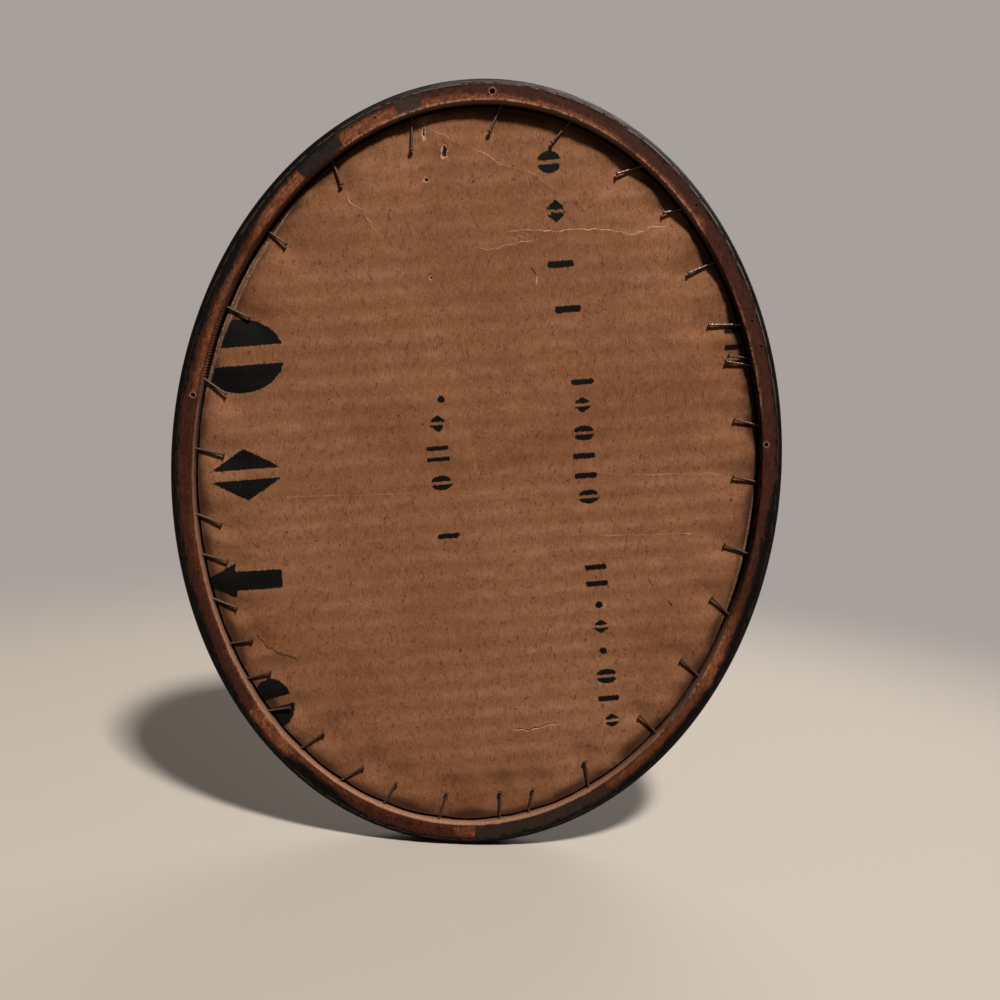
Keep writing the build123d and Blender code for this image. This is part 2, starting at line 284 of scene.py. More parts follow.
def rimSurface(angles):
    # the section carried round the oval: point = oval + normal times r, with wear added to r and y
    section = rimSection()
    x0, z0, nx, nz = (v[:, None] for v in ovalAt(angles))
    run, turn = arcLength(angles)[:, None], np.mod(angles, 360)[:, None]
    r = section[:, 0] + 0 * run
    y = section[:, 1] + 0 * run
    width, rear = rim["rearWidth"], oval["rearY"]
    onRear = ease(rear - 0.9, rear - 0.3, y) * ease(-0.1, 0.2, r) * ease(width + 0.5, width - 0.3, r)
    # hand sanded rear face: long low waves and short pits, all below the level of the solid
    y += onRear * (0.09 * softNoise(run / 21, r / 7, 3) + 0.035 * softNoise(run / 3.1, r / 1.7, 4) - 0.13)
    # chips along the inner arris, coarser where the rabbet tore out at the lower right
    torn = 0.35 + 0.65 * ease(198, 206, turn) * ease(272, 262, turn)
    chip = softNoise(run / 4.3, 0 * run, 5) + 0.5 * softNoise(run / 1.6, 0 * run, 6) - 0.05
    chip = np.clip(chip, 0, 1) * torn * rim["chip"]
    near = np.exp(-(((r - 0.1) / 0.9) ** 2 + ((rear - y - 0.2) / 0.9) ** 2))
    r += near * chip
    y -= near * chip * 0.7
    # small knocks on the outer arris
    knock = softNoise(run / 2.9, 0 * run, 7) + 0.4 * softNoise(run / 1.1, 0 * run, 8) - 0.35
    knock = np.clip(knock, 0, 1) * 0.5
    near = np.exp(-(((r - width) / 0.8) ** 2 + ((rear - y - 0.2) / 0.7) ** 2))
    r -= near * knock
    y -= near * knock * 0.5
    # two fine scratched lines along the flare
    for depth in (1.5, 2.5):
        r -= 0.16 * np.exp(-((rear - y - depth) / 0.22) ** 2) * ease(width + 0.1, width + 0.4, r)
    # ribs that the cutter left in the rabbet's wall, and its waviness
    onWall = ease(0.5, 0.05, r) * ease(-0.5, -0.05, r)
    onWall *= ease(rear - 0.1, rear - 0.5, y) * ease(oval["lipY"], oval["lipY"] + 2, y)
    ribbed = 0.0 * turn
    for first, full, fading, last in rim["ribbed"]:
        ribbed += ease(first, full, turn) * ease(last, fading, turn)
    ribs = 0.06 * ribbed * np.cos(2 * np.pi * run / rim["chatter"])
    r += onWall * (ribs + 0.05 + 0.10 * softNoise(run / 14, y / 5, 9))
    # holes: what lies inside a hole's radius is pushed down it, with pale fibres raised round it
    ringed = 0 * r
    for angle, out, radius, depth in rimHoles:
        hx, hz, hnx, hnz = ovalAt(angle)
        away = np.hypot(x0 + nx * r - hx - hnx * out, z0 + nz * r - hz - hnz * out)
        away = away * (1 + 0.1 * softNoise(run * 1.3, r * 1.3, 10))
        y -= onRear * depth * ease(radius * 1.05, radius * 0.8, away)
        y += onRear * 0.10 * np.exp(-((away - radius * 1.3) / 0.3) ** 2)
        ring = onRear * ease(0.4, 1.0, radius) * np.exp(-((away - radius * 1.25) / 0.4) ** 2)
        ringed = np.maximum(ringed, ring)
    y = np.minimum(y, rear)
    # a hairline at each joint
    gap = np.minimum(run - run[0], run[-1] - run)
    y -= onRear * 0.12 * ease(0.35, 0.0, gap)
    # what the material reads: how bare, and the distances from the borders of bare wood and lacquer
    share = section[:, 0] / width + 0 * turn
    bare, reach, lacquer, film, dull = (np.interp(turn, rimFinish[:, 0], part) for part in rimFinish.T[1:])
    outside = (section[:, 0] > width + 0.05) | (section[:, 1] < oval["lipY"] - 0.1)
    wall = (section[:, 0] < 0.35) & (section[:, 1] < rear - 0.15) & (section[:, 0] > -0.5) & ~outside
    wall = np.where(wall, 1.0, 0.0)
    stray = np.where(outside, 2.0, lacquer - (1 - share))
    soilAndShade, dark, wearAndHighlight = (np.interp(turn, rimEdges[:, 0], part) for part in rimEdges.T[1:])
    dark = dark * np.exp(-((section[:, 0] - 0.3) / 0.75) ** 2 - ((rear - section[:, 1] - 0.25) / 0.7) ** 2)
    wearAndHighlight = wearAndHighlight * np.exp(-((section[:, 0] - width) / 0.34) ** 2 - ((rear - section[:, 1] - 0.1) / 0.5) ** 2)
    # dust settles on what faces up, and with it a painted sheen of light on the top of the flare; less of
    # both towards the outer edge at the left of the top
    dustAndSheen = ease(width, width + 1.0, r) * ease(-6, 2, section[:, 1]) * np.interp(turn, *rimDustAndSheen.T)
    dustAndSheen *= 1 - 0.75 * ease(9.3, 10.8, r) * ease(104, 90, turn)
    layers = {"finish": (bare, reach - share, stray, film * (1 - wall)),
              "zone": (wall, dull, (rear - section[:, 1]) / 10, soilAndShade),  # the depth in cm
              "edges": (dark, wearAndHighlight, ringed, dustAndSheen),
              "track": (run * mm, section[:, 0] * mm, section[:, 1] * mm, 0.0)}
    layers = {label: np.stack([part + 0 * share for part in parts], axis=-1)
              for label, parts in layers.items()}
    return np.stack([x0 + nx * r, y, z0 + nz * r], axis=-1), layers


def stainedWood():
    # Stained beech or birch, sawn and hand sanded, with black lacquer sprayed on its face and sides.
    # Straight grain runs up and down the whole frame; dull brown stain is rubbed through to orange wood
    material, tree = newMaterial("stainedBeechWithLacquer")
    place = node(tree, "TexCoord", out="Object")
    track = node(tree, "Attribute", out="Vector", attribute_name="track")
    finish, zone, edges = (
        node(tree, "Attribute", attribute_name=label) for label in ("finish", "zone", "edges"))
    bare, inside, stray = node(tree, "SeparateColor", {0: finish}).node.outputs
    wall, dull, depth = node(tree, "SeparateColor", {0: zone}).node.outputs
    dark, wearAndHighlight, ringed = node(tree, "SeparateColor", {0: edges}).node.outputs
    film, soilAndShade, dustAndSheen = (layer.node.outputs["Alpha"] for layer in (finish, zone, edges))
    noises = {}
    for label, (size, detail, rough, warp) in rim["noises"].items():
        at = track if label == "scratch" else place
        at = node(tree, "Mapping", {"Vector": at, "Scale": sizes(*size)}, vector_type="TEXTURE")
        noises[label] = node(tree, "TexNoise", {
            "Vector": at, "Scale": 1.0, "Detail": detail, "Roughness": rough, "Distortion": warp})
    grain, fibre, patch, mottle, grit, scratch = noises.values()
    # two tones of each ground, mixed by a noise: stain, bare wood, grey film, raw wood, lacquer
    grounds = []
    for tones, value, low, high in (
            ("stain", patch, 0.36, 0.64), ("bare", scratch, 0.36, 0.62), ("film", mottle, 0.35, 0.7),
            ("raw", grain, 0.35, 0.65), ("lacquer", patch, 0.3, 0.7)):
        share = node(tree, "MapRange", {0: value, 1: low, 2: high})
        one, other = rim[tones]
        grounds.append(node(tree, "Mix", {0: share, 6: one, 7: other}, 2, data_type="RGBA"))
    stain, wood, dusty, raw, black = grounds
    # stain: duller purple brown over some stretches, blotched dark, with fibres showing through
    for value, low, high, most, tint in (
            (dull, 0.0, 1.0, 0.8, rim["dull"]), (grain, 0.44, 0.66, 0.5, rim["stainGrain"]),
            (mottle, 0.46, 0.66, 0.4, rim["stainGrain"]), (fibre, 0.54, 0.78, 0.4, rim["bare"][1]),
            (scratch, 0.57, 0.72, 0.6, rim["bare"][1])):
        share = node(tree, "MapRange", {0: value, 1: low, 2: high, 4: most})
        stain = node(tree, "Mix", {0: share, 6: stain, 7: tint}, 2, data_type="RGBA")
    # bare wood: brown pores, pale fibres and pale scratches
    for value, low, high, most, tint in (
            (grain, 0.46, 0.68, 0.55, rim["stain"][1]), (fibre, 0.5, 0.8, 0.5, rim["bareFibre"]),
            (scratch, 0.46, 0.34, 0.8, rim["bareFibre"])):
        share = node(tree, "MapRange", {0: value, 1: low, 2: high, 4: most})
        wood = node(tree, "Mix", {0: share, 6: wood, 7: tint}, 2, data_type="RGBA")
    # the film is paler over some stretches; painted shade darkens the rabbet's raw wood towards its foot
    dusty = node(tree, "Mix", {0: dull, 6: dusty, 7: rim["filmPale"]}, 2, data_type="RGBA")
    foot = node(tree, "MapRange", {0: depth, 1: 0.3, 2: 0.9})
    raw = node(tree, "Mix", {0: foot, 6: raw, 7: rim["rawFootShade"]}, 2, data_type="RGBA")
    # ragged borders: noise added to the distances from them, which are shares of the rear face's width
    ragged = 0.0
    for value, strength in ((patch, 0.8), (grit, 0.45), (scratch, 0.8)):
        swing = node(tree, "Math", {0: value, 1: 0.5}, operation="SUBTRACT")
        ragged = node(tree, "Math", {0: swing, 1: strength, 2: ragged}, operation="MULTIPLY_ADD")
    border = node(tree, "Math", {0: inside, 1: ragged}, operation="ADD")
    border = node(tree, "MapRange", {0: border, 1: -0.07, 2: 0.10})
    rubbed = node(tree, "Math", {0: border, 1: bare}, operation="MULTIPLY")
    blotch = node(tree, "Math", {0: patch, 1: mottle}, operation="ADD")
    blotch = node(tree, "MapRange", {0: blotch, 1: 0.82, 2: 1.14, 3: 1.3, 4: 0.4})
    rubbed = node(tree, "Math", {0: rubbed, 1: blotch}, operation="MULTIPLY", use_clamp=True)
    spray = node(tree, "Math", {0: stray, 1: ragged}, operation="ADD")
    spray = node(tree, "MapRange", {0: spray, 1: -0.06, 2: 0.06})
    flakes = node(tree, "Math", {0: grit, 1: 0.5, 2: patch}, operation="MULTIPLY_ADD")
    # each mark is strong or weak by a noise: grey film over grain, soil and painted shade on the rabbet's
    # wall, dark line or pale scuffs on the inner arris, speckled edge of the spray, dust with a painted
    # sheen, flaked outer arris with a painted highlight, fibres at holes
    marks = []
    for mark, value, low, high, first, last in (
            (film, grit, 0.5, 0.72, 0.95, 0.65), (soilAndShade, patch, 0.25, 0.55, 0.6, 1.0),
            (dark, mottle, 0.4, 0.66, 1.0, 0.6), (dark, mottle, 0.42, 0.6, -1.0, -0.05),
            (spray, grit, 0.28, 0.34, 0.6, 1.0), (dustAndSheen, scratch, 0.36, 0.6, 0.05, 0.65),
            (wearAndHighlight, flakes, 0.66, 0.80, 0.0, 0.8), (ringed, grit, 0.38, 0.6, 0.05, 0.75)):
        strength = node(tree, "MapRange", {0: value, 1: low, 2: high, 3: first, 4: last})
        marks.append(node(tree, "Math", {0: mark, 1: strength}, operation="MULTIPLY"))
    covering, wallSoilAndShade, line, scuff, lacquered, settledAndSheen, flakedAndHighlit, splintered = marks
    raw = node(tree, "Mix", {0: wallSoilAndShade, 6: raw, 7: rim["soilAndShade"]}, 2, data_type="RGBA")
    offWall = node(tree, "Math", {0: 1.0, 1: wall}, operation="SUBTRACT")
    lacquered = node(tree, "Math", {0: lacquered, 1: offWall}, operation="MULTIPLY")
    # what lies over what, from the stain up
    colour = stain
    for share, tint in (
            (rubbed, wood), (covering, dusty), (wall, raw), (line, rim["arrisLine"]),
            (scuff, rim["scuffed"]), (lacquered, black), (settledAndSheen, rim["dustAndSheen"]), (flakedAndHighlit, rim["wearAndHighlight"]),
            (splintered, rim["scuffed"])):
        colour = node(tree, "Mix", {0: share, 6: colour, 7: tint}, 2, data_type="RGBA")
    gloss = node(tree, "MapRange", {0: lacquered, 3: 0.66, 4: 0.5})
    uneven = node(tree, "MapRange", {0: grit, 1: 0.3, 2: 0.7, 3: -0.06, 4: 0.10})
    rough = node(tree, "Math", {0: gloss, 1: uneven}, operation="ADD")
    height = lacquered
    for value, strength in ((grain, 0.6), (fibre, 0.3), (mottle, 0.8)):
        height = node(tree, "Math", {0: value, 1: strength, 2: height}, operation="MULTIPLY_ADD")
    bump = node(tree, "Bump", {"Height": height, "Strength": 0.4, "Distance": 0.25 * mm})
    # the moulded face keeps its polish, the rear has lost it
    polish = node(tree, "MapRange", {0: depth, 1: 0.8, 2: 1.4, 4: 0.8})
    polish = node(tree, "Math", {0: lacquered, 1: polish}, operation="MULTIPLY")
    surface = node(tree, "BsdfPrincipled", {
        "Base Color": colour, "Roughness": rough, "Normal": bump, "Specular IOR Level": 0.07,
        "Coat Weight": polish, "Coat Roughness": 0.22})
    node(tree, "OutputMaterial", {"Surface": surface})
    return material


woodMaterial = stainedWood()
for label, (name, start, end) in rim["pieces"].items():
    points, layers = rimSurface(rimColumns(start, end))
    piece = gridPiece(label, points, woodMaterial, ring=True, caps=True, layers=layers)
    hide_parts(name)
print("rim: four pieces, the last with", len(piece.data.polygons), "faces")


# brads: the wire nails that hold the backing

# radii in mm, how many faces round a brad, and rings along its plain shank
brad = {"shank": 0.6, "head": 1.12, "sides": 14, "rings": 34, "steel": ("#6f625a", "#3c312b"),
        "rust": ("#22110a", "#573620")}

# How far the brads have rusted round the frame: angle, share
bradRust = np.array([
    (0, 0.8), (20, 0.7), (40, 0.9), (75, 0.8), (100, 0.6), (120, 0.3), (155, 0.25), (170, 0.55), (190, 0.7),
    (240, 0.6), (290, 0.75), (330, 0.8), (360, 0.8),
])


def bradLine(name):
    # a brad's own line, read from its solid: the long axis of its points, from tip to head
    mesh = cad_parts[name].data
    flat = np.empty(len(mesh.vertices) * 3, np.float32)
    mesh.vertices.foreach_get("co", flat)
    flat = flat.reshape(-1, 3).astype(float) / mm
    axis = np.linalg.svd(flat - flat.mean(0))[2][0]
    if np.dot(axis[[0, 2]], flat.mean(0)[[0, 2]]) > 0:
        axis = -axis
    along = (flat - flat.mean(0)) @ axis
    return flat[np.argmin(along)], flat[along > along.max() - 0.05].mean(0), axis


def bradSurface(tip, top, seed):
    # rings along a line that bends a little: a long point, a plain shank, a flat head with a round edge
    random = np.random.default_rng(seed)
    length = np.linalg.norm(top - tip)
    axis = (top - tip) / length
    side = np.cross(axis, (0, 1, 0))
    side /= np.linalg.norm(side)
    up = np.cross(side, axis)
    k, h = brad["shank"], brad["head"] * random.uniform(0.92, 1.08)
    profile = [(0, 0.0), (0.8, 0.45 * k), (1.6, k)]
    shank = np.linspace(2.2, length - 1.0, brad["rings"])
    profile += [(s, k * (1 + 0.05 * np.sin(3.1 * s + seed))) for s in shank]
    profile += [(length - 0.75, k * 1.05), (length - 0.6, k * 1.25), (length - 0.5, h * 0.86),
                (length - 0.4, h), (length - 0.16, h), (length - 0.05, h * 0.8), (length - 0.01, h * 0.4),
                (length, 0.0)]
    profile = np.array(profile)
    around = np.linspace(0, 2 * np.pi, brad["sides"], endpoint=False)
    bend = side * random.uniform(-0.2, 0.2) + up * random.uniform(0.0, 0.15)
    free = ease(0.35, 1.0, profile[:, :1] / length)  # only the half outside the wood is bent
    centre = tip + axis * profile[:, :1] + bend * free
    spoke = np.cos(around)[None, :, None] * side + np.sin(around)[None, :, None] * up
    return centre[:, None, :] + spoke * profile[:, 1][:, None, None]


def rustedWire():
    # Bright drawn iron wire that has begun to rust: grey metal that glints along its upper side, under
    # patches of dull brown rust, more of it on some brads than on others
    material, tree = newMaterial("rustedIronWire")
    place = node(tree, "TexCoord", out="Object")
    rustAt, speckAt = (
        node(tree, "Mapping", {"Vector": place, "Scale": sizes(size, size, size)}, vector_type="TEXTURE")
        for size in (1.1, 0.25))
    rust = node(tree, "TexNoise", {"Vector": rustAt, "Scale": 1.0, "Detail": 3.0, "Roughness": 0.6})
    speck = node(tree, "TexNoise", {"Vector": speckAt, "Scale": 1.0, "Detail": 2.0})
    age = node(tree, "SeparateColor", {0: node(tree, "Attribute", attribute_name="age")})
    rusted = node(tree, "Math", {0: age, 1: 0.5, 2: rust}, operation="MULTIPLY_ADD")
    rusted = node(tree, "MapRange", {0: rusted, 1: 0.58, 2: 0.84, 4: 0.92})
    grounds = []
    for (one, other), low, high in ((brad["steel"], 0.4, 0.7), (brad["rust"], 0.35, 0.65)):
        share = node(tree, "MapRange", {0: speck, 1: low, 2: high})
        grounds.append(node(tree, "Mix", {0: share, 6: one, 7: other}, 2, data_type="RGBA"))
    colour = node(tree, "Mix", {0: rusted, 6: grounds[0], 7: grounds[1]}, 2, data_type="RGBA")
    bump = node(tree, "Bump", {"Height": speck, "Strength": 0.3, "Distance": 0.04 * mm})
    metal = node(tree, "MapRange", {0: rusted, 3: 1.0, 4: 0.25})
    rough = node(tree, "MapRange", {0: rusted, 3: 0.34, 4: 0.6})
    surface = node(tree, "BsdfPrincipled", {
        "Base Color": colour, "Normal": bump, "Metallic": metal, "Roughness": rough})
    node(tree, "OutputMaterial", {"Surface": surface})
    return material


wireMaterial = rustedWire()
bradNodes = sorted(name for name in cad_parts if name.startswith("brad_"))
bradLines = [bradLine(name) for name in bradNodes]
for number, (name, (tip, top, _)) in enumerate(zip(bradNodes, bradLines), 1):
    points = bradSurface(tip, top, number)
    angle = np.degrees(np.arctan2(top[2] / oval["b"], top[0] / oval["a"])) % 360
    age = np.full(points.shape[:2] + (4,), np.interp(angle, *bradRust.T))
    piece = gridPiece("bradPiece_%02d" % number, points, wireMaterial, ring=True, sharp=50,
                      layers={"age": age})
    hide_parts(name)
print("brads:", len(bradNodes))


# carton: the corrugated backing, its rear paper modelled in full

carton = {
    "a": 139.7, "b": 178.7,  # half axes of the sheet
    "liner": 0.35,  # thickness of one paper
    "lift": 1.7,  # how far it bulges between the brads
    "valley": 7.0,  # how wide the hollow along a brad is
    "pitch": 10.2, "fluteDepth": 0.09, "turn": 7.7,  # flutes: spacing, depth on the paper, slope in degrees
    "columns": 740,  # round the sheet
    # the crest tone is rubbed paper and also painted light on the flutes' crests
    "paper": ("#704529", "#805236"), "wide": "#885a3c", "crest": "#9a6c50", "fibre": "#46240f",
    # the grime tone also paints shade on the sheet beside the rim
    "fuzz": "#9c6d4c", "speck": "#42200f", "grimeAndShade": "#3a2113", "ink": "#070605", "crack": "#d2a481",
    # the slit tone paints shade inside slits and torn holes
    "slit": "#1c0d08", "edge": ("#86654b", "#573c2b"),
    # the paper's noises, all but wide turned like the flutes: size in mm, detail, roughness, warp
    "noises": {"fibre": ((0.42, 0.42, 2.6), 3.0, 0.62, 0.5), "felt": ((1.1, 1.1, 1.6), 3.0, 0.7, 0.0),
               "lump": ((7.0, 7.0, 4.0), 2.0, 0.5, 0.0), "cloud": ((30, 30, 20), 3.0, 0.55, 0.0),
               "wide": ((90, 90, 70), 2.0, 0.5, 0.0)},
    # single curled fibres: size in mm, level of the noise that draws them, colour, strength
    "curls": (((1.9, 1.9, 3.4), 0.5, "fibre", 0.7), ((1.3, 1.3, 2.1), 0.53, "fibre", 0.45),
              ((2.4, 2.4, 3.0), 0.47, "fuzz", 0.3)),
    # specks of bark: spacing in mm, largest radius as a share of it, strength, share of the cells left empty
    "specks": ((1.7, 0.14, 0.25, 0.8), (4.2, 0.11, 0.5, 0.8), (9.0, 0.09, 0.85, 0.66)),
}

# How far the sheet bulges between the brads: angle, share of the lift
cartonLift = np.array([
    (0, 0.9), (30, 1.0), (58, 0.75), (70, 0.3), (94, 0.2), (106, 0.35), (112, 0.6), (122, 1.0), (140, 1.0),
    (165, 0.8), (200, 1.0), (360, 0.9),
])

# Cut edge of the sheet that shows beside the rim: angle, width of the bevel
cutEdge = np.array([
    (0, 0), (8, 0.2), (12, 1.2), (18, 2.2), (26, 2.8), (36, 2.8), (42, 2.2), (47, 0.6), (52, 0), (178, 0),
    (184, 1.2), (196, 1.4), (203, 0.4), (208, 0), (360, 0),
])

# Holes torn by something sharp: x, z, half width, half height
tornHoles = [
    (36.8, 164.7, 0.6, 3.2), (26.3, 156.2, 1.2, 2.6), (34.3, 142.4, 1.2, 0.9), (29.6, 95.9, 0.9, 0.6),
]

# Creases in the paper, pale along their crest: points x and z, then height, how pale
creases = [
    ([(36.0, 167.5), (26.0, 163.6), (15.4, 159.1)], 0.06, 0.35),
    ([(15.4, 159.1), (9.5, 157.4), (4.2, 154.9), (-0.8, 152.1), (-7.8, 151.1), (-16.9, 149.5),
      (-24.0, 144.5), (-31.0, 140.7), (-33.4, 138.6)], 0.16, 0.55),
    ([(-38.0, 140.5), (-41.0, 137.0), (-42.5, 134.8), (-48.5, 132.5)], 0.12, 0.45),
    ([(-3.0, 120.1), (-15.4, 121.9), (-32.1, 122.6), (-43.3, 124.1), (-51.4, 124.2), (-62.8, 123.6),
      (-69.6, 123.4), (-76.3, 126.7), (-84.1, 128.9), (-86.1, 132.3)], 0.30, 0.85),
    ([(9.8, 111.7), (5.9, 111.2), (1.4, 111.5), (-2.4, 112.5), (-5.5, 114.2), (-12.3, 115.7),
      (-20.6, 117.5)], 0.22, 0.8),
    ([(74.0, 136.0), (71.6, 131.4), (70.6, 128.4), (66.5, 126.8), (63.4, 126.2), (62.6, 122.6),
      (59.8, 120.4), (58.6, 117.6), (55.4, 115.0)], 0.08, 0.55),
    ([(-58.0, 4.8), (-80.0, 5.0), (-105.0, 7.4), (-127.0, 8.4)], 0.08, 0.35),
    ([(-58.0, -26.8), (-93.0, -24.5), (-103.6, -23.4), (-116.4, -23.4)], 0.08, 0.45),
    ([(104.0, -17.0), (96.0, -15.9), (60.0, -13.0), (30.5, -10.7)], 0.06, 0.28),
    ([(-23.0, -129.6), (-31.7, -130.2), (-42.2, -127.2), (-50.0, -125.6)], 0.12, 0.9),
    ([(-21.6, 101.2), (-22.3, 98.6), (-22.7, 95.6)], 0.30, 1.0),
]

# Dark slits and scuffs, the slits painted dark as shade inside the cuts: points x and z, then how dark, how
# broad
slits = [
    ([(-18.6, 105.0), (-19.6, 103.4), (-21.2, 101.0), (-22.4, 99.8)], 1.0, 1.0),
    ([(-23.9, -129.0), (-31.7, -129.6), (-42.2, -126.6), (-49.3, -125.0)], 0.7, 1.0),
    ([(-88.9, -47.3), (-91.0, -51.9)], 0.8, 1.0), ([(-99.9, -58.1), (-101.9, -61.0)], 0.9, 1.0),
    ([(109.5, -86.5), (104.0, -91.5), (96.5, -96.0), (85.4, -99.5)], 0.5, 2.6),
    ([(-110.3, 18.5), (-114.2, 15.2)], 0.9, 1.0), ([(-104.5, 20.0), (-107.0, 17.0)], 0.4, 1.0),
]

# Plain stencil like shapes that mean nothing: kind, x, z, half length, half width, turn, width of the bridge
stencil = [
    ("disc", 121.0, 52.0, 22, 18, 8, 9.0), ("diamond", 116.0, -6.0, 22, 13, 8, 5.0),
    ("bar", 112.0, -59.0, 16, 4.8, 7, 0), ("tip", 128.0, -61.0, 9, 9, 7, 0),
    ("disc", 98.0, -122.0, 10, 13, 20, 5.0), ("disc", 21.6, 37.0, 1.9, 1.9, 0, 0),
    ("diamond", 22.6, 25.0, 5.6, 4.4, 8, 1.5), ("bar", 22.0, 12.6, 5.6, 1.1, 8, 0),
    ("bar", 21.2, 7.2, 5.6, 1.1, 8, 0), ("disc", 19.0, -4.6, 5.4, 3.8, 8, 1.5),
    ("bar", 13.9, -31.1, 5.6, 1.3, 8, 0), ("disc", -24.5, 155.0, 6.0, 5.4, 8, 1.9),
    ("diamond", -29.4, 132.0, 6.4, 5.6, 8, 1.7), ("bar", -33.4, 106.7, 6.4, 1.7, 8, 0),
    ("bar", -38.5, 85.2, 6.4, 1.7, 8, 0), ("bar", -48.2, 50.0, 5.6, 1.4, 8, 0),
    ("diamond", -49.0, 38.6, 5.8, 4.2, 8, 1.4), ("disc", -50.6, 24.6, 5.6, 3.8, 8, 1.4),
    ("bar", -51.6, 13.2, 5.6, 1.4, 8, 0), ("bar", -53.2, 3.4, 5.6, 1.4, 8, 0),
    ("disc", -55.4, -7.2, 5.4, 3.6, 8, 1.4), ("bar", -61.4, -43.0, 5.6, 1.4, 8, 0),
    ("bar", -62.6, -51.4, 5.6, 1.4, 8, 0), ("disc", -64.6, -62.4, 1.9, 1.9, 0, 0),
    ("diamond", -66.4, -73.6, 5.6, 3.8, 8, 1.4), ("disc", -68.4, -86.2, 1.9, 1.9, 0, 0),
    ("disc", -71.2, -99.4, 5.6, 3.8, 8, 1.4), ("bar", -73.0, -111.0, 5.6, 1.4, 8, 0),
    ("diamond", -75.6, -122.6, 5.6, 3.8, 8, 1.4), ("bar", -121.9, 80.0, 4.6, 1.4, 8, 0),
    ("bar", -122.6, 71.8, 4.6, 1.4, 8, 0),
]


def toLine(x, z, points):
    # signed distance to a bent line (its sign is the side), and how far along it the nearest place is, 0 to 1
    points = np.array(points, float)
    lengths = np.hypot(*np.diff(points, axis=0).T)
    best, along = np.full(x.shape, 1e3), np.zeros(x.shape)
    for k, (start, end) in enumerate(zip(points[:-1], points[1:])):
        way = (end - start) / lengths[k]
        s = np.clip((x - start[0]) * way[0] + (z - start[1]) * way[1], 0, lengths[k])
        dx, dz = x - start[0] - s * way[0], z - start[1] - s * way[1]
        away = np.hypot(dx, dz)
        closer = away < np.abs(best)
        best = np.where(closer, np.where(way[0] * dz - way[1] * dx < 0, -away, away), best)
        along = np.where(closer, (lengths[:k].sum() + s) / lengths.sum(), along)
    return best, along


def inkDistance(x, z):
    # mm outside the nearest stencilled shape, below zero inside it
    best = np.full(x.shape, 50.0)
    for kind, cx, cz, half, thick, turn, bridge in stencil:
        t = np.radians(turn)
        u = (x - cx) * np.cos(t) - (z - cz) * np.sin(t)
        v = (x - cx) * np.sin(t) + (z - cz) * np.cos(t)
        if kind == "bar":
            du, dv = np.abs(u) - half + 0.5, np.abs(v) - thick + 0.5
            away = np.hypot(np.maximum(du, 0), np.maximum(dv, 0)) + np.minimum(np.maximum(du, dv), 0) - 0.5
        elif kind == "disc":
            away = (np.hypot(u / half, v / thick) - 1) * min(half, thick)
        elif kind == "diamond":
            away = (np.abs(u) / half + np.abs(v) / thick - 1) * half * thick / np.hypot(half, thick)
        else:  # a wedge that points along u
            away = np.maximum((np.abs(v) / thick - (0.5 - u / (2 * half))) * thick * 0.8, -half - u)
        if bridge:
            away = np.maximum(away, bridge / 2 - np.abs(v))
        best = np.minimum(best, away)
    return best


